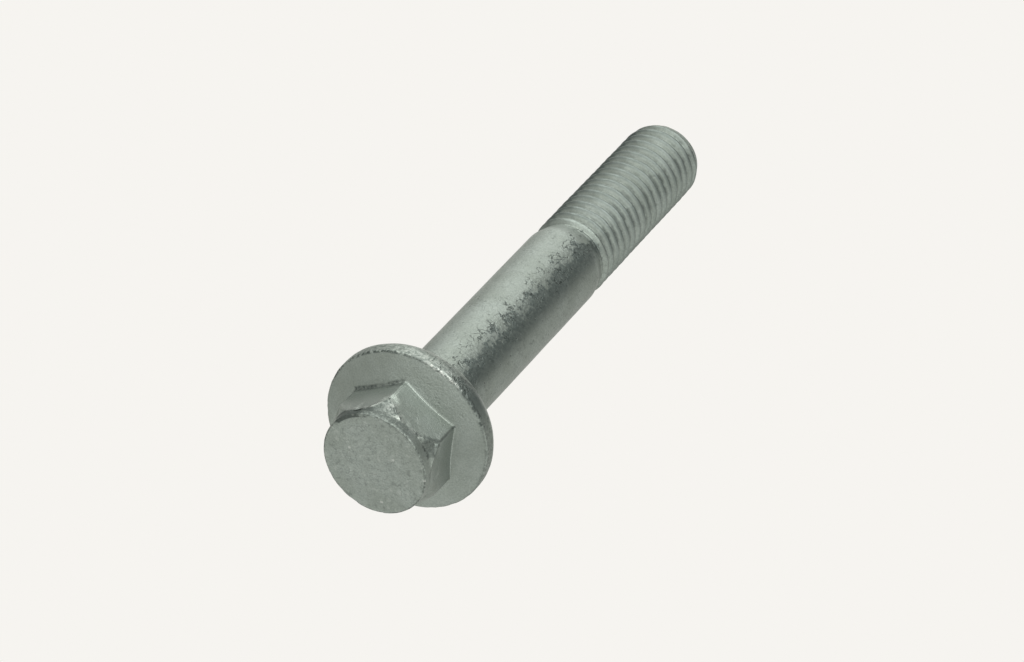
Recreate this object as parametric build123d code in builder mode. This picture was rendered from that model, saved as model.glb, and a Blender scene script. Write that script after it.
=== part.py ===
from build123d import *
import os
from math import atan, ceil, cos, degrees, radians, sqrt, tan

# Hexagon flange bolt, M12 x 1.75, forged and rolled as one piece. Millimetres.
# The origin is the centre of the bearing face under the flange. The shank runs up
# along +Z to the tip, and the head hangs below, so the bolt stands on its head.

# Shank and tip
shank_diameter = 12.0
length_under_head = 76.7
underhead_fillet = 0.6
tip_diameter = 10.5
tip_taper_length = 1.85

# Thread, in the proportions of an ISO metric bolt but left-hand
thread_diameter = 11.94
thread_pitch = 1.75
thread_length = 31.0
thread_angle = 60.0
thread_depth_share = 0.61343
crest_share = 1 / 8
thread_turn = 73.0
left_hand_thread = True
runout_depth = 0.6

# Neck between shank and thread, rolled down to the diameter of the thread blank
neck_diameter = 10.9
neck_length = 1.1
neck_taper_angle = 25.0
first_crest_angle = 20.0

# Flange
flange_diameter = 24.1
flange_face_diameter = 22.6
flange_widest_height = 1.4
flange_front_diameter = 24.06
flange_front_height = 3.2
flange_top_angle = 19.0
flange_rim_fillet = 0.5

# Hexagon
across_flats = 15.0
head_height = 12.1
hex_edge_fillet = 0.25
hex_root_fillet = 0.35

# Crown: the round button on top of the hexagon. The corners of the hexagon end
# corner_height away from the bearing face and slope in from there to the crown.
crown_diameter = 15.2
crown_height = 1.6
crown_edge_fillet = 0.3
corner_height = 8.45

# Radii
shank_radius = shank_diameter / 2
thread_radius = thread_diameter / 2
tip_radius = tip_diameter / 2
neck_radius = neck_diameter / 2
flange_radius = flange_diameter / 2
flange_face_radius = flange_face_diameter / 2
flange_front_radius = flange_front_diameter / 2
flat_radius = across_flats / 2
corner_radius = across_flats / sqrt(3)
crown_radius = crown_diameter / 2

# Stations along the axis
flange_slope = tan(radians(flange_top_angle))
flange_apex = -flange_front_height - flange_front_radius * flange_slope
crown_foot = crown_height - head_height
thread_start = length_under_head - thread_length
neck_end = thread_start - (thread_radius - neck_radius) / tan(radians(first_crest_angle))
neck_start = neck_end - neck_length
shank_end = neck_start - (shank_radius - neck_radius) / tan(radians(neck_taper_angle))

# Section of the groove between two crests. The cutter stands out a little past the
# crests, and its path runs on past the tip by at least one whole turn.
flank_slope = tan(radians(thread_angle / 2))
groove_depth = thread_depth_share * thread_pitch
groove_mouth = (1 - crest_share) * thread_pitch
groove_floor = groove_mouth - 2 * groove_depth * flank_slope
cutter_overshoot = 0.1
cutter_mouth = groove_mouth + 2 * cutter_overshoot * flank_slope
cutter_turns = ceil(thread_length / thread_pitch) + 1
runout_angle = atan(runout_depth / thread_pitch)

# Flange, shank, neck, thread blank and tip, turned about the axis
with BuildPart() as turned_body:
    with BuildSketch(Plane.XZ):
        with BuildLine():
            Polyline(
                (0, flange_apex),
                (flange_front_radius, -flange_front_height),
                (flange_radius, -flange_widest_height),
                (flange_face_radius, 0),
                (shank_radius, 0),
                (shank_radius, shank_end),
                (neck_radius, neck_start),
                (neck_radius, neck_end),
                (thread_radius, thread_start),
                (thread_radius, length_under_head - tip_taper_length),
                (tip_radius, length_under_head),
                (0, length_under_head),
                close=True,
            )
        make_face()
        fillet(vertices().sort_by(Axis.X)[-3:], radius=flange_rim_fillet)
        fillet(vertices().sort_by_distance((shank_radius, 0))[0], radius=underhead_fillet)
    revolve(axis=Axis.Z)

# Hexagon, turned down at its corners, with the crown on top
with BuildPart() as hexagon:
    with BuildSketch(Plane.XY.offset(-head_height)):
        RegularPolygon(radius=corner_radius, side_count=6)
        fillet(vertices(), radius=hex_edge_fillet)
    extrude(amount=head_height - flange_front_height)
    with BuildSketch(Plane.XZ):
        with BuildLine():
            Polyline(
                (0, -head_height),
                (crown_radius, -head_height),
                (crown_radius, crown_foot),
                (corner_radius, -corner_height),
                (corner_radius, 0),
                (0, 0),
                close=True,
            )
        make_face()
    revolve(axis=Axis.Z, mode=Mode.INTERSECT)
    with BuildSketch(Plane.XZ):
        with Locations((0, -head_height)):
            Rectangle(crown_radius, crown_height, align=Align.MIN)
        fillet(vertices().sort_by_distance((crown_radius, -head_height))[0], radius=crown_edge_fillet)
    revolve(axis=Axis.Z)

# Cutter for the groove: a trapezium swept up a helix. Its first turn sinks into the
# blank from outside, so that the groove fades out in the neck.
with BuildPart() as groove:
    with BuildLine() as groove_path:
        Helix(
            pitch=thread_pitch / cos(runout_angle),
            height=thread_pitch,
            radius=thread_radius + runout_depth,
            center=(0, 0, thread_start - thread_pitch),
            cone_angle=-degrees(runout_angle),
            lefthand=left_hand_thread,
        )
        for turn in range(cutter_turns):
            Helix(
                pitch=thread_pitch,
                height=thread_pitch,
                radius=thread_radius,
                center=(0, 0, thread_start + turn * thread_pitch),
                lefthand=left_hand_thread,
            )
    helix = groove_path.wire()
    with BuildSketch(Plane(origin=helix @ 0, x_dir=(1, 0, 0), z_dir=helix % 0)):
        with BuildLine():
            Polyline(
                (cutter_overshoot, cutter_mouth / 2),
                (-groove_depth, groove_floor / 2),
                (-groove_depth, -groove_floor / 2),
                (cutter_overshoot, -cutter_mouth / 2),
                close=True,
            )
        make_face()
    sweep(path=helix, is_frenet=True)

# The whole bolt, with a fillet where the hexagon stands on the flange
with BuildPart() as flange_bolt:
    add(turned_body.part)
    add(hexagon.part)
    root_low = flange_apex + flat_radius * flange_slope - hex_root_fillet
    root_high = flange_apex + corner_radius * flange_slope + hex_root_fillet
    fillet(edges().filter_by_position(Axis.Z, root_low, root_high), radius=hex_root_fillet)
    add(groove.part, rotation=(0, 0, thread_turn), mode=Mode.SUBTRACT)

flange_bolt.part.label = "flange_bolt"
os.makedirs("parts", exist_ok=True)
export_step(flange_bolt.part, "parts/flange_bolt.step")
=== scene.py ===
import bpy
from math import cos, pi, radians, sin, sqrt, tan
import numpy as np
from mathutils import Matrix, Vector


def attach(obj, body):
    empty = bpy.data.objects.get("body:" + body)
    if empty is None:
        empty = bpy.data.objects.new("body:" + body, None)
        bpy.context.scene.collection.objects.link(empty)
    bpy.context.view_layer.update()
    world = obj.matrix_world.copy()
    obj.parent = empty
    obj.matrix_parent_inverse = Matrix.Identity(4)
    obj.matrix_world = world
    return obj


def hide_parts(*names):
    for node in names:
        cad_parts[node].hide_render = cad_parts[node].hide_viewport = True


# A worn hexagon flange bolt in grey zinc coating, standing on its head.
# Sizes of the bolt are in millimetres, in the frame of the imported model: the origin is the
# centre of the bearing face, +Z runs up the shank. The mesh is written in metres. Places
# round the bolt are in degrees from the side that faces the camera, positive to its right.

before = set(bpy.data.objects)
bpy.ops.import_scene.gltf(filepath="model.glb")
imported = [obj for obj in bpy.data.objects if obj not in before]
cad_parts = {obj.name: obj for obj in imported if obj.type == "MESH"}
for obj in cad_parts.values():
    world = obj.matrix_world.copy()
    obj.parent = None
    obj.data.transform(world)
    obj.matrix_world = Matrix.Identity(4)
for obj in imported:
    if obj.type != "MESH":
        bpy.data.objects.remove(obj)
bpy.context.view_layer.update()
bpy.context.scene.view_settings.view_transform = "Standard"
MM = 0.001

# Shank and tip
SHANK_RADIUS = 6.0
SHANK_END = 41.99
UNDERHEAD_FILLET = 0.6
LENGTH = 76.7
TIP_TAPER = 1.85
TIP_RADIUS = 5.25
TIP_DISC_Z = LENGTH - 1e-6

# Neck, whose run-in to the thread begins further up on the left than on the right
NECK_RADIUS = 5.45
NECK_START = 43.52
NECK_LENGTH = 0.4
RUN_IN_LENGTH = 0.8
NECK_LIFT = 0.75
NECK_LIFT_SWING = 0.45

# Thread, with a worn crest and a groove that coating and dirt have partly filled.
# THREAD_TURN is where the groove's floor passes THREAD_START, in degrees from +X.
THREAD_START = 45.7
THREAD_RADIUS = 5.97
PITCH = 1.75
THREAD_TURN = 73.0
GROOVE_DEPTH = 0.8
GROOVE_HALF_FLOOR = 0.12
CREST_HALF_WIDTH = 0.1
FLANK_CURVE = 1.25
CREST_WEAR = 0.03
FRONT_SHIFT = 0.2
RUNOUT_DEPTH = 0.45
RUNOUT_TURNS = 1.3

# Flange
FLANGE_FACE_RADIUS = 11.3
FLANGE_RADIUS = 12.04
FLANGE_WIDEST_Z = -1.4
FLANGE_FRONT_RADIUS = 12.02
FLANGE_FRONT_Z = -3.2
FLANGE_SLOPE = tan(radians(19.0))

# Hexagon with its turned-down corners, and the crown on top
FLAT_RADIUS = 7.5
CORNER_RADIUS = 2 * FLAT_RADIUS / sqrt(3)
CORNER_ROUNDING = 0.16
CORNER_REACH = 0.035
CORNER_END_Z = -8.45
HEAD_Z = -12.08
CROWN_RADIUS = 7.6
CROWN_FOOT_Z = -10.5

# Columns of the mesh: even steps round the bolt, with closer ones at the hexagon's corners.
# Its first and last row are small circles, which fans of triangles close.
EVEN_COLUMNS = 168
CORNER_STEPS = (0.5, 1.1)
END_RADIUS = 0.15
LEAST_RADIUS = 0.1
BEND_STEPS = (0.25, 0.5, 0.75, 1.0)

# Factors that scramble the cells of the noise
CELL_FACTORS = (73856093, 19349663, 83492791)
SEED_FACTOR = 2654435761
MIX_FACTOR = 1274126177

# Chipped edges: radius, z, depth and reach of the chips
CHIPPED_EDGES = (
    (FLANGE_FRONT_RADIUS, FLANGE_FRONT_Z, 0.07, 0.4),
    (FLANGE_RADIUS, FLANGE_WIDEST_Z, 0.04, 0.7),
    (CROWN_RADIUS, HEAD_Z, 0.06, 0.4),
    (CROWN_RADIUS, CROWN_FOOT_Z, 0.1, 0.5),
)

# One larger dent in the crown's side, and small ones spread over the head's top
CROWN_DENT_AT = -60
CROWN_DENT_DEPTH = 0.22
TOP_DENTS = 14
TOP_DENT_SPREAD = 6.4


def column_angles():
    """Angles of the mesh columns round the axis, in radians from +X."""
    angles = list(np.arange(EVEN_COLUMNS) * 360.0 / EVEN_COLUMNS)
    for corner in range(6):
        for step in CORNER_STEPS:
            angles += [corner * 60.0 - step, corner * 60.0 + step]
    return np.radians(np.sort(np.mod(angles, 360.0)))


def hexagon_radius(angle):
    """Distance from the axis to the hexagon's side at each angle, with softened corners."""
    from_flat = np.mod(angle, pi / 3) - pi / 6
    sharp = FLAT_RADIUS / np.cos(from_flat)
    near_corner = np.clip(1 - (pi / 6 - np.abs(from_flat)) / CORNER_REACH, 0, 1)
    return sharp - CORNER_ROUNDING * near_corner**2


def profile_corners(angle):
    """Corners of the profile: radius and z at every column, rounding, steps to the next one."""
    one = np.ones_like(angle)
    hexagon = hexagon_radius(angle)
    crown_slope = (CORNER_END_Z - CROWN_FOOT_Z) / (CORNER_RADIUS - CROWN_RADIUS)
    crease_z = CROWN_FOOT_Z + np.clip(hexagon - CROWN_RADIUS, 0.02, None) * crown_slope
    apex_z = FLANGE_FRONT_Z - FLANGE_FRONT_RADIUS * FLANGE_SLOPE
    neck_lift = NECK_LIFT - NECK_LIFT_SWING * np.cos(angle)
    neck_z = NECK_START + neck_lift
    return [
        (END_RADIUS * one, HEAD_Z * one, 0.0, 26),
        (CROWN_RADIUS * one, HEAD_Z * one, 0.28, 6),
        (CROWN_RADIUS * one, CROWN_FOOT_Z * one, 0.25, 8),
        (hexagon, crease_z, 0.12, 18),
        (hexagon, apex_z + hexagon * FLANGE_SLOPE, 0.16, 15),
        (FLANGE_FRONT_RADIUS * one, FLANGE_FRONT_Z * one, 0.22, 8),
        (FLANGE_RADIUS * one, FLANGE_WIDEST_Z * one, 0.5, 5),
        (FLANGE_FACE_RADIUS * one, 0 * one, 0.4, 10),
        (SHANK_RADIUS * one, 0 * one, UNDERHEAD_FILLET, 90),
        (SHANK_RADIUS * one, SHANK_END + 0.6 * neck_lift, 0.5, 6),
        (NECK_RADIUS * one, neck_z, 0.3, 3),
        (NECK_RADIUS * one, neck_z + NECK_LENGTH, 0.3, 6),
        (THREAD_RADIUS * one, neck_z + (NECK_LENGTH + RUN_IN_LENGTH), 0.3, 232),
        (THREAD_RADIUS * one, (LENGTH - TIP_TAPER) * one, 0.4, 14),
        (TIP_RADIUS * one, LENGTH * one, 0.2, 12),
        (END_RADIUS * one, LENGTH * one, 0.0, 0),
    ]


def straight_rows(start, end, steps):
    return [start + (end - start) * t for t in np.linspace(0, 1, steps + 1)[1:]]


def profile_rows(angle):
    """Rows of (radius, z) for every column, from the middle of the head's top to the tip's."""
    corners = profile_corners(angle)
    points = [np.stack([radius, z], 1) for radius, z, _, _ in corners]
    rows = [points[0]]
    start = points[0]
    for i in range(1, len(corners) - 1):
        corner, rounding, steps = points[i], corners[i][2], corners[i - 1][3]
        back, ahead = points[i - 1] - corner, points[i + 1] - corner
        back_length = np.linalg.norm(back, axis=1)[:, None]
        ahead_length = np.linalg.norm(ahead, axis=1)[:, None]
        cut = np.minimum(rounding, 0.45 * np.minimum(back_length, ahead_length))
        enter = corner + back / back_length * cut
        leave = corner + ahead / ahead_length * cut
        rows += straight_rows(start, enter, steps)
        for t in BEND_STEPS:
            rows.append((1 - t) ** 2 * enter + 2 * t * (1 - t) * corner + t * t * leave)
        start = leave
    rows += straight_rows(start, points[-1], corners[-2][3])
    return np.stack(rows)


def smooth_step(low, high, value):
    t = np.clip((value - low) / (high - low), 0, 1)
    return t * t * (3 - 2 * t)


def lattice_noise(points, size, seed):
    """Smooth noise from -1 to 1 over points, whose lumps are about size across."""
    scaled = points / size
    cell = np.floor(scaled).astype(np.int64)
    part = scaled - cell
    part = part * part * part * (part * (part * 6 - 15) + 10)
    total = np.zeros(points.shape[:-1])
    for corner in np.ndindex(2, 2, 2):
        mixed = seed * SEED_FACTOR
        for axis, factor in enumerate(CELL_FACTORS):
            mixed = mixed ^ (cell[..., axis] + corner[axis]) * factor
        mixed = (mixed ^ (mixed >> 13)) * MIX_FACTOR & 0x7FFFFFFF
        mixed = (mixed ^ (mixed >> 15)) & 0xFFFF
        value = mixed / 32767.5 - 1
        weight = np.ones(points.shape[:-1])
        for axis in range(3):
            weight = weight * (part[..., axis] if corner[axis] else 1 - part[..., axis])
        total += weight * value
    return total


def near_circle(radius, z, circle_radius, circle_z, reach):
    """1 on a circle round the axis, falling smoothly to 0 away from it."""
    return np.exp(-((radius - circle_radius) ** 2 + (z - circle_z) ** 2) / reach**2)


def from_front(angle, centre, half_width):
    """1 at a place round the bolt, 0 beyond half_width of it."""
    away = np.mod(np.degrees(angle) + 90 - centre + 180, 360) - 180
    return 1 - smooth_step(0.3 * half_width, half_width, np.abs(away))


def cut_thread(radius, z, angle, place):
    """Sinks the left-hand groove into the rows, with worn round crests that wander a little."""
    wander = 0.07 * lattice_noise(place, 2.5, 11) + 0.035 * lattice_noise(place, 0.9, 12)
    wander = wander - FRONT_SHIFT * from_front(angle, 25, 80)
    turn = (z + wander - THREAD_START) / PITCH + (angle - radians(THREAD_TURN)) / (2 * pi)
    from_floor = np.abs(turn - np.round(turn)) * PITCH
    flank_width = 0.5 * PITCH - GROOVE_HALF_FLOOR - CREST_HALF_WIDTH
    rise = np.clip((from_floor - GROOVE_HALF_FLOOR) / flank_width, 0, 1)
    rounded = 1 - (1 - rise) ** FLANK_CURVE
    depth = GROOVE_DEPTH * (1 - rounded)
    crest_wear = CREST_WEAR + CREST_WEAR * lattice_noise(place, 1.6, 13)
    runout = RUNOUT_DEPTH * np.clip((THREAD_START - z) / PITCH, 0, RUNOUT_TURNS)
    floor = THREAD_RADIUS - depth - crest_wear * (1 - depth / GROOVE_DEPTH) + runout
    return np.where((z > NECK_START) & (z < TIP_DISC_Z), np.minimum(radius, floor), radius)


def wear_depth(radius, z, angle, place):
    """How far wear has sunk the surface: ripples, chipped edges, worn corners and dents."""
    broad = lattice_noise(place, 4.0, 21)
    middle = lattice_noise(place, 1.4, 22)
    chips = lattice_noise(place, 0.8, 23) + 0.5 * lattice_noise(place, 0.45, 24) - 0.1
    chips = np.clip(chips, 0, 1)
    depth = 0.018 * (1 + broad) + 0.006 * (1 + middle)
    for edge_radius, edge_z, chip_depth, reach in CHIPPED_EDGES:
        depth += chip_depth * chips * near_circle(radius, z, edge_radius, edge_z, reach)
    crown_dent = CROWN_DENT_DEPTH * from_front(angle, CROWN_DENT_AT, 9)
    depth += crown_dent * near_circle(radius, z, CROWN_RADIUS, CROWN_FOOT_Z - 0.35, 0.55)
    shoulder = smooth_step(CROWN_FOOT_Z - 0.3, CROWN_FOOT_Z + 0.2, z) * smooth_step(-7.6, -8.6, z)
    corners = from_front(angle, -30, 9) + 0.7 * from_front(angle, 30, 7)
    depth += shoulder * (0.1 * chips + corners * (0.16 + 0.12 * middle + 0.15 * chips))
    maker = np.random.default_rng(7)
    for _ in range(TOP_DENTS):
        reach, turned = TOP_DENT_SPREAD * maker.random() ** 0.5, 2 * pi * maker.random()
        size, sunk = 0.35 + 0.5 * maker.random(), 0.03 + 0.05 * maker.random()
        dent = np.array([reach * np.cos(turned), reach * np.sin(turned), HEAD_Z])
        depth += sunk * np.exp(-np.sum((place - dent) ** 2, -1) / size**2)
    return depth


def wear_down(radius, z, angle, place):
    """Moves every point inwards along the profile's normal by the depth of its wear."""
    along_radius, along_z = np.gradient(radius, axis=0), np.gradient(z, axis=0)
    length = np.hypot(along_radius, along_z) + 1e-9
    depth = wear_depth(radius, z, angle, place)
    return radius - along_z / length * depth, z + along_radius / length * depth


def to_place(radius, angle, z):
    return np.stack([radius * np.cos(angle), radius * np.sin(angle), z], -1)


def grid_faces(rows, columns):
    """Faces between the rows, and the fans that close the first and last row on two centres."""
    ahead = np.roll(np.arange(columns), -1)
    head_centre, tip_centre = rows * columns, rows * columns + 1
    last = (rows - 1) * columns
    faces = []
    for low in range(0, last, columns):
        high = low + columns
        for column in range(columns):
            faces.append((low + column, low + ahead[column], high + ahead[column], high + column))
    for column in range(columns):
        faces.append((head_centre, ahead[column], column))
        faces.append((tip_centre, last + column, last + ahead[column]))
    return faces


def bolt_mesh():
    """The whole bolt as one closed mesh, with its worn surface."""
    angle = column_angles()
    rows = profile_rows(angle)
    radius, z = rows[..., 0], rows[..., 1]
    turn = np.broadcast_to(angle, radius.shape)
    place = to_place(radius, turn, z)
    wall = cut_thread(radius, z, turn, place)

    # The tip's disc draws in where a groove cuts its rim
    tip_disc = z > TIP_DISC_Z
    last_wall = np.argmax(tip_disc[:, 0]) - 1
    squeeze = wall[last_wall] / radius[last_wall]
    wall = np.where(tip_disc, wall * np.minimum(squeeze, 1), wall)

    worn_radius, worn_z = wear_down(radius, z, turn, place)
    place = to_place(np.maximum(wall + worn_radius - radius, LEAST_RADIUS), turn, worn_z)
    head_centre = [0, 0, worn_z[0].mean() * MM]
    tip_centre = [0, 0, worn_z[-1].mean() * MM]
    points = np.vstack([place.reshape(-1, 3) * MM, head_centre, tip_centre])
    mesh = bpy.data.meshes.new("flange_bolt_surface")
    mesh.from_pydata([tuple(p) for p in points], [], grid_faces(len(rows), len(angle)))
    mesh.polygons.foreach_set("use_smooth", [True] * len(mesh.polygons))
    mesh.update()
    return mesh


class Shading:
    """Adds nodes to one node tree and hands back their output sockets."""

    def __init__(self, tree):
        self.tree = tree

    def add(self, kind, inputs, output=0, **settings):
        node = self.tree.nodes.new(kind)
        for name, value in settings.items():
            setattr(node, name, value)
        for key, value in inputs.items():
            if isinstance(value, bpy.types.NodeSocket):
                self.tree.links.new(value, node.inputs[key])
            else:
                node.inputs[key].default_value = value
        return node.outputs[output]

    def maths(self, operation, *values):
        return self.add("ShaderNodeMath", dict(enumerate(values)), operation=operation)

    def chain(self, operation, first, *others):
        for other in others:
            first = self.maths(operation, first, other)
        return first

    def total(self, *values):
        return self.chain("ADD", *values)

    def product(self, *values):
        return self.chain("MULTIPLY", *values)

    def either(self, *values):
        return self.chain("MAXIMUM", *values)

    def gap(self, first, second):
        return self.maths("ABSOLUTE", self.maths("SUBTRACT", first, second))

    def distance(self, across, along):
        squares = self.total(self.product(across, across), self.product(along, along))
        return self.maths("SQRT", squares)

    def remap(self, value, low, high, start, end, **settings):
        inputs = {"Value": value, "From Min": low, "From Max": high, "To Min": start, "To Max": end}
        return self.add("ShaderNodeMapRange", inputs, **settings)

    def ramp(self, value, low, high, start=0.0, end=1.0):
        return self.remap(value, low, high, start, end, interpolation_type="SMOOTHSTEP")

    def linear(self, value, low, high, start, end):
        return self.remap(value, low, high, start, end, clamp=False)

    def window(self, value, low, high, soft):
        """1 from low to high, fading out over soft at either side."""
        return self.product(self.ramp(value, low - soft, low), self.ramp(value, high + soft, high))

    def mix(self, share, first, second):
        inputs = {"Factor": share, 6: first, 7: second}
        return self.add("ShaderNodeMix", inputs, 2, data_type="RGBA")


ZINC = (0.18, 0.205, 0.18, 1)
CLOUDY_ZINC = (0.21, 0.238, 0.214, 1)
# Darker zinc of the grain, also the colour of the painted shade on the thread and of the streak's
# painted dark reflection
DARK_ZINC_AND_PAINTED_SHADE = (0.05, 0.066, 0.062, 1)
# Dark colour of dirt, pits and cracks, also of the painted shade and shadows on the head
DIRT_AND_PAINTED_SHADE = (0.03, 0.038, 0.034, 1)
# Steel worn through, also the colour of the painted highlight on the flange's back edge
BARE_STEEL_AND_HIGHLIGHT = (0.4, 0.42, 0.385, 1)
REFLECTION_TINT = (0.8, 0.82, 0.8, 1)
METALLIC = 0.7

# Where the wear of the shank and the streak's painted dark reflection end, where the painted shade
# of the thread sets in and ends, and the part of the head's circumference that is the hexagon's
# left face
SHANK_WEAR_AND_PAINTED_REFLECTION_END = 45.0
THREAD_FADE_IN = (44.5, 47.0)
THREAD_FADE_OUT = (76.6, 76.3)
LEFT_FACE = (-88.0, -32.0, 2.0)
PIT_SPACING = 0.85


class ZincShading(Shading):
    """Coordinates of the bolt in millimetres and degrees, noises, and masks of wear, grime and
    painted light and shade.
    """

    def __init__(self, tree):
        super().__init__(tree)
        coordinates = self.add("ShaderNodeTexCoord", {}, "Object")
        inputs = {0: coordinates, "Scale": 1 / MM}
        self.place = self.add("ShaderNodeVectorMath", inputs, operation="SCALE")
        self.x, self.y, self.z = self.add("ShaderNodeSeparateXYZ", {0: self.place}).node.outputs
        self.radius = self.distance(self.x, self.y)
        turned = self.maths("ARCTAN2", self.x, self.product(self.y, -1.0))
        self.around = self.product(turned, 180 / pi)

        self.broad = self.noise(3.6, 1.0)
        self.middle = self.noise(1.5, 2.0)
        self.fine = self.noise(0.5, 3.0, 3.0)
        self.grain = self.noise(0.22, 4.0, 3.0)
        self.speck = self.noise(0.28, 8.0, 3.0)
        self.scrawl = self.noise(0.75, 5.0, 4.0)
        self.curl = self.gap(self.noise(1.2, 6.0), 0.5)
        self.curls = self.ramp(self.curl, 0.028, 0.008)
        self.specks = self.ramp(self.speck, 0.45, 0.58)
        self.gaps = self.ramp(self.fine, 0.52, 0.42)
        self.ragged_z = self.total(self.z, self.ramp(self.fine, 0.3, 0.7, -0.3, 0.3))
        ragged = self.ramp(self.middle, 0.3, 0.7, -5.0, 5.0)
        self.ragged_around = self.total(self.around, ragged)

        # Parts of the head: its top, the flange's rim and front edge, the hexagon's left face,
        # and the shoulder, where the cone that turns down the corners cuts the hexagon
        self.top = self.ramp(self.z, -11.85, -12.0)
        self.crown_wall = self.ramp(self.radius, 7.35, 7.45)
        self.rim = self.product(self.ramp(self.radius, 11.7, 11.9), self.band(-3.1, -0.7, 0.3))
        self.front_edge = self.circle(12.0, -3.2, 0.12, 0.5)
        left_x = self.product(self.x, -cos(radians(30)))
        self.from_left_face = self.total(left_x, self.product(self.y, -sin(radians(30))))
        cone_ends = (CROWN_RADIUS, CORNER_RADIUS, CROWN_FOOT_Z, CORNER_END_Z)
        self.above_cone = self.maths("SUBTRACT", self.z, self.linear(self.radius, *cone_ends))
        ragged_cone = self.total(self.above_cone, self.ramp(self.fine, 0.3, 0.7, -0.35, 0.35))
        self.shoulder = self.product(
            self.window(self.ragged_z, -10.5, -8.3, 0.25),
            self.ramp(self.radius, 7.2, 7.45),
            self.ramp(ragged_cone, 0.95, 0.5),
        )

    def noise(self, size, seed, detail=2.0):
        inputs = {"Vector": self.place, "W": seed, "Scale": 1 / size, "Detail": detail}
        return self.add("ShaderNodeTexNoise", inputs, noise_dimensions="4D")

    def cells(self, size, output):
        inputs = {"Vector": self.place, "Scale": 1 / size}
        return self.add("ShaderNodeTexVoronoi", inputs, output)

    def circle(self, circle_radius, circle_z, inner, outer):
        """1 within inner of a circle round the axis, 0 beyond outer."""
        from_radius = self.maths("SUBTRACT", self.radius, circle_radius)
        from_z = self.maths("SUBTRACT", self.z, circle_z)
        return self.ramp(self.distance(from_radius, from_z), outer, inner)

    def sector(self, low, high, soft):
        return self.window(self.around, low, high, soft)

    def band(self, low, high, soft):
        return self.window(self.z, low, high, soft)

    def stained_and_painted_reflection_streak(self):
        """The streak right of the front, from the rim to the neck, with a ragged left edge: partly
        a stain of the zinc, partly painted dark reflection.
        """
        ragged = self.total(
            self.ramp(self.middle, 0.25, 0.75, -10.0, 10.0),
            self.ramp(self.fine, 0.25, 0.75, -7.0, 7.0),
            self.ramp(self.broad, 0.3, 0.7, -6.0, 6.0),
        )
        return self.product(
            self.ramp(self.total(self.around, ragged), -6.0, 5.0),
            self.ramp(self.around, 40.0, 16.0),
            self.band(-3.0, SHANK_WEAR_AND_PAINTED_REFLECTION_END, 0.4),
            self.ramp(self.fine, 0.3, 0.62, 0.62, 1.0),
        )

    def pits(self):
        """Round pits of many sizes: most at the front, some on all the shank, few on the head."""
        chance = self.add("ShaderNodeSeparateColor", {0: self.cells(PIT_SPACING, "Color")})
        size = self.ramp(chance, 0.0, 1.0, -0.16, 0.3)
        share = self.either(
            self.product(self.sector(-8.0, 32.0, 8.0), 0.9),
            self.ramp(self.z, -0.5, -1.0, 0.5, 0.0),
        )
        return self.product(
            self.ramp(self.cells(PIT_SPACING, "Distance"), size, self.product(size, 0.45)),
            self.ramp(size, 0.0, 0.05),
            share,
            self.ramp(self.z, -3.2, -2.8, 0.25, 1.0),
            self.ramp(self.z, 44.0, 46.0, 1.0, 0.35),
        )

    def hair_cracks(self):
        """Curling cracks on the shank, most at the front, with smaller ones among them there."""
        small_curl = self.gap(self.noise(0.65, 7.0), 0.5)
        small = self.product(
            self.ramp(small_curl, 0.04, 0.01),
            self.sector(-10.0, 12.0, 6.0),
            0.8,
            self.ramp(self.middle, 0.5, 0.6),
        )
        zone = self.either(self.sector(-20.0, 16.0, 8.0), 0.3)
        large = self.product(self.curls, self.ramp(self.middle, 0.42, 0.55), zone)
        return self.product(self.either(large, small), self.band(-3.0, SHANK_WEAR_AND_PAINTED_REFLECTION_END, 0.5))

    def bare_steel_and_highlight(self):
        """Edges of the head worn to the steel, pale wear on its left face, top and rim, and a
        painted highlight along the flange's back edge.
        """
        front_edge = self.product(self.front_edge, self.specks, self.sector(-17.0, 3.0, 5.0), 0.7)
        # Painted highlight along the flange's back edge
        back_edge = self.product(
            self.circle(11.6, -0.25, 0.1, 0.4),
            self.sector(-40.0, 30.0, 25.0),
            self.ramp(self.fine, 0.35, 0.6, 0.3, 0.6),
        )
        left_corner = self.product(
            self.shoulder,
            self.sector(-36.0, -24.0, 6.0),
            self.ramp(self.fine, 0.45, 0.65, 0.0, 0.08),
        )
        shoulder = self.product(self.shoulder, self.specks, self.sector(-26.0, 12.0, 6.0), 0.3)
        rim_flecks = self.ramp(self.fine, 0.48, 0.6)
        rim = self.product(self.rim, rim_flecks, self.sector(-60.0, 6.0, 12.0), 0.22)
        left_face = self.product(
            self.ramp(self.from_left_face, 7.3, 7.42),
            self.ramp(self.z, -6.0, -9.0),
            self.ramp(self.z, -10.7, -10.4),
            self.sector(*LEFT_FACE),
            0.25,
        )
        scuffs = self.product(self.top, self.ramp(self.scrawl, 0.42, 0.34), 0.14)
        nicks = self.product(
            self.top,
            self.ramp(self.cells(2.2, "Distance"), 0.14, 0.07),
            self.ramp(self.middle, 0.5, 0.52),
            0.5,
        )
        edges = (front_edge, back_edge, left_corner, shoulder)
        return self.either(*edges, scuffs, rim, nicks, left_face)

    def flange_dirt_and_shade(self):
        """Dark chips along the flange's front edge and mottling on its rim, the streak's stain and
        painted dark reflection where it crosses the edge, and painted shade that dims the highlight
        on the edge's rounding.
        """
        left = self.product(
            self.circle(11.95, -3.2, 0.1, 0.38), self.gaps, self.sector(-100.0, -42.0, 8.0)
        )
        # The streak carried onto the front edge: partly stain, partly painted dark reflection
        right_share = self.either(
            self.sector(8.0, 36.0, 5.0), self.product(self.sector(36.0, 75.0, 5.0), 0.5)
        )
        right = self.product(
            right_share, self.circle(12.0, -3.05, 0.2, 0.6), self.ramp(self.fine, 0.6, 0.42)
        )
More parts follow.
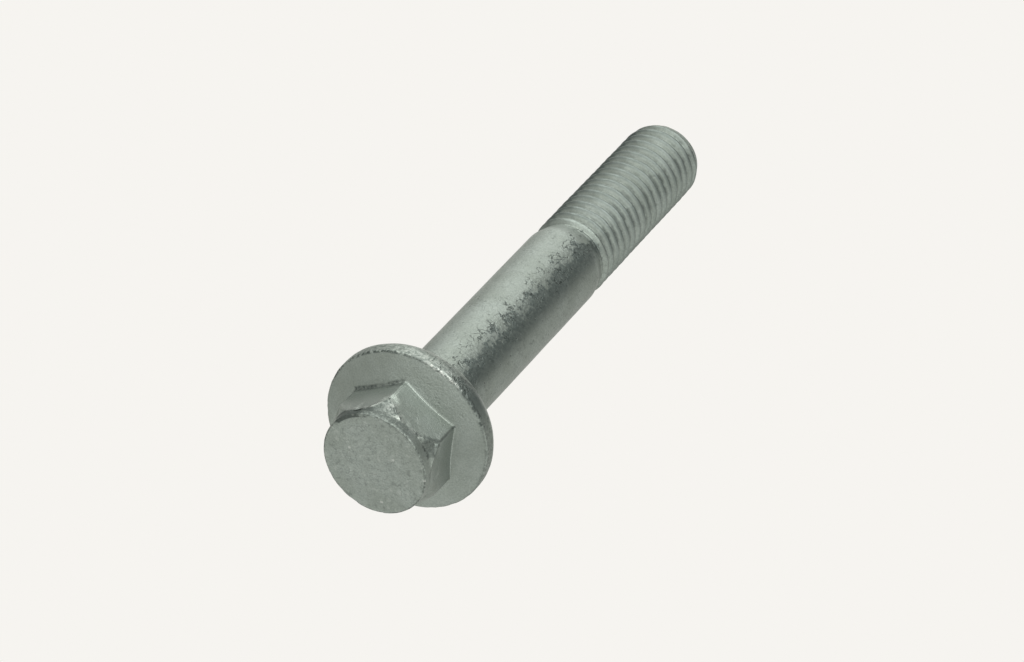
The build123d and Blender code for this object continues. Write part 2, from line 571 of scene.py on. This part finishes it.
        # Painted shade that dims the highlight on the front edge's rounding
        front = self.product(
            self.circle(11.8, -3.15, 0.08, 0.3),
            self.sector(-45.0, 12.0, 8.0),
            self.ramp(self.fine, 0.62, 0.42),
            0.85,
        )
        # More painted shade dimming the front edge's highlight here
        edge_shade = self.product(self.front_edge, self.sector(-30.0, -20.0, 4.0), 0.6)
        rim = self.product(
            self.rim,
            self.ramp(self.fine, 0.52, 0.38, 0.3, 1.0),
            self.sector(-110.0, 110.0, 15.0),
            0.45,
        )
        return self.either(left, right, front, edge_shade, rim)

    def crown_dirt_and_shade(self):
        """The line round the crown's rim, chips with painted shade that dims its highlight; the
        painted shadow at its foot on the left; a dark patch at its dent; and painted shade on its
        side.
        """
        # Chips, and painted shade that dims the rim's highlight
        line = self.product(
            self.circle(7.53, -12.0, 0.1, 0.26), self.ramp(self.fine, 0.62, 0.42), 0.75
        )
        # Painted shadow under the crown's overhang on the left
        foot = self.product(
            self.band(-11.15, -10.3, 0.2), self.crown_wall, self.sector(-90.0, -40.0, 6.0), 0.95
        )
        patch = self.product(
            self.band(-12.3, -10.4, 0.2),
            self.ramp(self.radius, 6.95, 7.15),
            self.window(self.ragged_around, -80.0, -52.0, 7.0),
            self.ramp(self.fine, 0.3, 0.42, 0.6, 1.0),
        )
        # Painted shade on the crown's lit side
        side = self.product(
            self.band(-11.9, -10.7, 0.15),
            self.crown_wall,
            self.window(self.ragged_around, -48.0, -6.0, 22.0),
            0.8,
            self.ramp(self.speck, 0.66, 0.44, 0.45, 1.0),
        )
        return self.either(line, foot, patch, side)

    def shoulder_dirt_and_shade(self):
        """Dark corners of the hexagon, with painted shade over the lit left one, gaps between them,
        and the crease above the front face.
        """
        right_corner = self.product(
            self.shoulder,
            self.window(self.ragged_around, 22.0, 34.0, 8.0),
            self.ramp(self.fine, 0.3, 0.6, 0.5, 0.95),
        )
        # Painted shade that dims the lit left corner
        left_corner = self.product(
            self.shoulder,
            self.sector(-40.0, -20.0, 6.0),
            self.ramp(self.fine, 0.6, 0.4, 0.6, 0.85),
        )
        between = self.product(self.shoulder, self.gaps, self.sector(-26.0, 24.0, 6.0), 0.6)
        crease = self.product(
            self.window(self.above_cone, 0.0, 0.4, 0.15),
            self.ramp(self.y, -6.9, -7.2),
            self.band(-10.5, -8.2, 0.2),
            self.ramp(self.fine, 0.62, 0.45),
            self.ramp(self.speck, 0.58, 0.46),
            self.sector(-32.0, 24.0, 4.0),
        )
        return self.either(right_corner, left_corner, between, crease)

    def hexagon_shadow_and_edge(self):
        """The painted shadow along the foot of the left face, and the dark line on the edge at the
        right of the front face.
        """
        # Painted shadow along the foot of the left face
        foot = self.product(
            self.ramp(self.gap(self.from_left_face, FLAT_RADIUS + 0.12), 0.42, 0.08),
            self.window(self.ragged_z, -5.15, -4.0, 0.2),
            self.sector(*LEFT_FACE),
            self.ramp(self.fine, 0.62, 0.4, 0.45, 1.0),
            self.ramp(self.middle, 0.35, 0.6, 0.35, 1.0),
        )
        right_edge = self.product(
            self.ramp(self.maths("ABSOLUTE", self.from_left_face), 0.24, 0.08),
            self.sector(25.0, 35.0, 2.0),
            self.band(-9.0, -4.3, 0.3),
            self.window(self.radius, 8.35, 8.7, 0.1),
            self.ramp(self.fine, 0.65, 0.4, 0.4, 0.8),
        )
        return self.either(foot, right_edge)

    def top_dirt(self):
        """Scuffs and fine lines on the head's top."""
        scuffs = self.product(self.top, self.ramp(self.scrawl, 0.56, 0.66), 0.3)
        lines = self.product(self.top, self.curls, self.ramp(self.broad, 0.5, 0.62), 0.25)
        return self.either(scuffs, lines)

    def groove_darkening(self):
        """Darker patches in the thread's groove, fewer to the left."""
        return self.product(
            self.ramp(self.radius, 5.65, 5.25),
            self.ramp(self.z, 44.6, 45.6),
            self.ramp(self.middle, 0.46, 0.6, 0.0, 0.95),
            self.ramp(self.around, -25.0, 10.0, 0.3, 1.0),
            self.ramp(self.z, 76.4, 75.6),
        )

    def painted_thread_shade(self):
        """Share of painted shade on the thread: it dims the highlights of the crests and front
        flanks and the light along the left side.
        """
        fade_in = self.ramp(self.z, *THREAD_FADE_IN)
        on_thread = self.product(fade_in, self.ramp(self.z, *THREAD_FADE_OUT))
        crests = self.product(
            fade_in,
            self.ramp(self.radius, 5.5, 5.85),
            self.ramp(self.around, 50.0, 30.0, 0.3, 0.55),
        )
        flanks = self.product(
            on_thread, self.ramp(self.radius, 5.85, 5.3), self.sector(-4.0, 42.0, 15.0), 0.15
        )
        left_side = self.product(on_thread, self.sector(-100.0, -74.0, 8.0), 0.75)
        return self.either(crests, flanks, left_side)

    def colour(self, pits, cracks, bare_and_highlight, dirt_and_shade):
        colour = self.mix(self.ramp(self.broad, 0.3, 0.7), ZINC, CLOUDY_ZINC)
        colour = self.mix(self.ramp(self.grain, 0.35, 0.7, 0.0, 0.22), colour, DARK_ZINC_AND_PAINTED_SHADE)
        # The streak: painted dark reflection, with some real stain of the zinc
        colour = self.mix(self.product(self.stained_and_painted_reflection_streak(), 0.75), colour, DARK_ZINC_AND_PAINTED_SHADE)
        # Painted shade on the thread's crests, front flanks and left side
        colour = self.mix(self.painted_thread_shade(), colour, DARK_ZINC_AND_PAINTED_SHADE)
        # Darker patches in the thread's groove
        colour = self.mix(self.product(self.groove_darkening(), 0.6), colour, DIRT_AND_PAINTED_SHADE)
        # Dirt, with painted shade and painted shadows on the head
        colour = self.mix(self.product(dirt_and_shade, 0.85), colour, DIRT_AND_PAINTED_SHADE)
        # Steel worn through at the edges, and the painted highlight on the flange's back edge
        colour = self.mix(bare_and_highlight, colour, BARE_STEEL_AND_HIGHLIGHT)
        return self.mix(self.product(self.either(pits, cracks), 0.8), colour, DIRT_AND_PAINTED_SHADE)

    def relief(self, pits, cracks):
        """Bump in millimetres: grain, pits, cracks and the curling scuffs of the head's top."""
        shank = self.band(-2.9, SHANK_WEAR_AND_PAINTED_REFLECTION_END, 0.3)
        rough_zone = self.either(self.product(self.sector(-12.0, 14.0, 10.0), shank), 0.35)
        lumps = self.product(self.fine, 0.09, rough_zone)
        raised = self.total(self.product(self.grain, 0.03), lumps)
        sunk = self.total(self.product(pits, 0.06), self.product(cracks, 0.04))
        scuffs = self.product(
            self.top, self.ramp(self.curl, 0.06, 0.0), self.ramp(self.middle, 0.4, 0.6), 0.035
        )
        height = self.total(self.maths("SUBTRACT", raised, sunk), scuffs)
        return self.add("ShaderNodeBump", {"Strength": 1.0, "Distance": MM, "Height": height})


def zinc_material():
    """Dull zinc, cloudy and pitted, with edges worn to the steel and a dark cracked streak along
    one side that is partly painted dark reflection; painted shade, shadow and a highlight lie on
    the head and thread.
    """
    material = bpy.data.materials.new("worn_zinc")
    material.use_nodes = True
    make = ZincShading(material.node_tree)
    pits, cracks = make.pits(), make.hair_cracks()
    # Dirt of the head, with painted shade and shadows among it
    head_dirt_and_shade = (make.crown_dirt_and_shade(), make.shoulder_dirt_and_shade(), make.hexagon_shadow_and_edge(), make.top_dirt())
    dirt_and_shade = make.either(make.flange_dirt_and_shade(), *head_dirt_and_shade)
    grained = make.ramp(make.grain, 0.3, 0.7, 0.36, 0.48)
    looks = {
        "Base Color": make.colour(pits, cracks, make.bare_steel_and_highlight(), dirt_and_shade),
        "Roughness": make.total(grained, make.product(make.either(dirt_and_shade, pits), 0.15)),
        "Normal": make.relief(pits, cracks),
    }
    shader = material.node_tree.nodes["Principled BSDF"]
    for name, look in looks.items():
        material.node_tree.links.new(look, shader.inputs[name])
    shader.inputs["Metallic"].default_value = METALLIC
    shader.inputs["Specular Tint"].default_value = REFLECTION_TINT
    return material


bolt = bpy.data.objects.new("flange_bolt_worn", bolt_mesh())
bpy.context.scene.collection.objects.link(bolt)
bolt.data.materials.append(zinc_material())
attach(bolt, "root")
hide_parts("flange_bolt")

# Camera at the photograph's angle: below the head, looking up the shank
VIEW_TARGET = Vector((1.195, 0.0, 25.491)) * MM
VIEW_DISTANCE = 548.3 * MM
VIEW_ELEVATION = radians(48.445)
VIEW_ROLL = radians(43.289)
LENS = 140.625
SENSOR_WIDTH = 36.0
CLIP_START = 0.01


def add_camera():
    data = bpy.data.cameras.new("photo_camera")
    data.lens = LENS
    data.sensor_width = SENSOR_WIDTH
    data.clip_start = CLIP_START
    camera = bpy.data.objects.new("photo_camera", data)
    turned = Matrix.Rotation(pi / 2 + VIEW_ELEVATION, 4, "X") @ Matrix.Rotation(VIEW_ROLL, 4, "Z")
    back = turned @ Vector((0, 0, 1))
    camera.matrix_world = Matrix.Translation(VIEW_TARGET + back * VIEW_DISTANCE) @ turned
    bpy.context.scene.collection.objects.link(camera)
    bpy.context.scene.camera = camera


# Background, floor and lights, in metres
BACKGROUND = (0.922, 0.905, 0.871, 1)
FILL = (0.45, 0.45, 0.45, 1)
FLOOR_COLOUR = (0.86, 0.85, 0.82, 1)
FLOOR_ROUGHNESS = 0.8
FLOOR_REACH = 3.0
FLOOR_Z = (HEAD_Z - 0.05) * MM
FLOOR_FADE = (0.04, 0.16)
RIG_CENTRE = Vector((0, 0, 30)) * MM
LAMP_DISTANCE = 0.5
CARD_DISTANCE = 0.25
CARD_COLOUR = (0.01, 0.01, 0.01, 1)
CARD_ROUGHNESS = 0.9

# Square lamps: name, direction from the middle of the bolt, side and strength
LAMPS = (
    ("upper_left", (-0.7, -0.12, 0.7), 0.35, 1.1),
    ("upper_front", (-0.4, -0.77, 0.5), 0.4, 1.3),
    ("left", (-0.85, -0.49, 0.17), 0.35, 4.05),
    ("front", (-0.13, -0.99, -0.03), 0.4, 4.5),
    ("right", (0.93, -0.05, -0.15), 0.45, 1.05),
    ("below", (-0.15, -0.45, -0.88), 0.5, 1.54),
    ("behind", (0.15, 0.82, -0.5), 0.5, 0.75),
    ("lower_left", (-0.6, -0.71, -0.37), 0.4, 1.3),
    ("lower_right", (0.5, -0.3, -0.8), 0.3, 0.9),
)

# Black cards: name, direction from the middle of the bolt, width and height
CARDS = (
    ("dark_card_front", (0.3, -0.68, 0.66), 0.3, 0.24),
    ("dark_card_left", (-0.95, 0.2, 0.3), 0.22, 0.22),
)


def add_world():
    """A pale background for what is seen or reflected, over an even grey light."""
    world = bpy.data.worlds.new("studio")
    bpy.context.scene.world = world
    world.use_nodes = True
    tree = world.node_tree
    tree.nodes.clear()
    make = Shading(tree)
    rays = ("Is Camera Ray", "Is Glossy Ray", "Is Transmission Ray")
    seen = make.either(*[make.add("ShaderNodeLightPath", {}, ray) for ray in rays])
    fill = make.add("ShaderNodeBackground", {"Color": FILL})
    pale = make.add("ShaderNodeBackground", {"Color": BACKGROUND})
    mixed = make.add("ShaderNodeMixShader", {0: seen, 1: fill, 2: pale})
    out = tree.nodes.new("ShaderNodeOutputWorld")
    tree.links.new(mixed, out.inputs["Surface"])


def rectangle(name, half_width, half_height, z=0):
    """A mesh of one face, centred on the origin."""
    data = bpy.data.meshes.new(name)
    corners = [(-half_width, -half_height, z), (half_width, -half_height, z)]
    corners += [(half_width, half_height, z), (-half_width, half_height, z)]
    data.from_pydata(corners, [], [(0, 1, 2, 3)])
    return data


def add_floor():
    """A floor that keeps the bolt's shadow, fades out around it and isn't there from below."""
    data = rectangle("floor", FLOOR_REACH, FLOOR_REACH, FLOOR_Z)
    floor = bpy.data.objects.new("floor", data)
    bpy.context.scene.collection.objects.link(floor)
    material = bpy.data.materials.new("floor_one_sided")
    material.use_nodes = True
    tree = material.node_tree
    shader = tree.nodes["Principled BSDF"]
    shader.inputs["Base Color"].default_value = FLOOR_COLOUR
    shader.inputs["Roughness"].default_value = FLOOR_ROUGHNESS
    make = Shading(tree)
    place = make.add("ShaderNodeNewGeometry", {}, "Position")
    from_below = make.add("ShaderNodeNewGeometry", {}, "Backfacing")
    away = make.add("ShaderNodeVectorMath", {0: place}, "Value", operation="LENGTH")
    unseen = make.either(from_below, make.ramp(away, *FLOOR_FADE))
    clear = make.add("ShaderNodeBsdfTransparent", {})
    mixed = make.add("ShaderNodeMixShader", {0: unseen, 1: shader.outputs[0], 2: clear})
    tree.links.new(mixed, tree.nodes["Material Output"].inputs["Surface"])
    data.materials.append(material)
    floor.visible_diffuse = False
    floor.visible_glossy = False
    floor.visible_shadow = False


def aim(thing, direction, distance):
    """Sets a thing in a direction from the middle of the bolt, facing it."""
    away = Vector(direction).normalized()
    thing.location = RIG_CENTRE + away * distance
    thing.rotation_euler = away.to_track_quat("Z", "Y").to_euler()
    bpy.context.scene.collection.objects.link(thing)


def add_softbox(name, direction, side, strength):
    data = bpy.data.lights.new(name, "AREA")
    data.shape = "SQUARE"
    data.size = side
    data.energy = strength * side * side * pi
    aim(bpy.data.objects.new(name, data), direction, LAMP_DISTANCE)


def add_dark_card(name, direction, width, height):
    """A black card, unseen by the camera, that darkens the bolt's reflection on its side."""
    data = rectangle(name, width / 2, height / 2)
    card = bpy.data.objects.new(name, data)
    aim(card, direction, CARD_DISTANCE)
    material = bpy.data.materials.new(name)
    material.use_nodes = True
    shader = material.node_tree.nodes["Principled BSDF"]
    shader.inputs["Base Color"].default_value = CARD_COLOUR
    shader.inputs["Roughness"].default_value = CARD_ROUGHNESS
    shader.inputs["Specular IOR Level"].default_value = 0.0
    data.materials.append(material)
    card.visible_camera = False
    card.visible_diffuse = False
    card.visible_shadow = False


add_camera()
add_world()
add_floor()
for lamp in LAMPS:
    add_softbox(*lamp)
for card in CARDS:
    add_dark_card(*card)
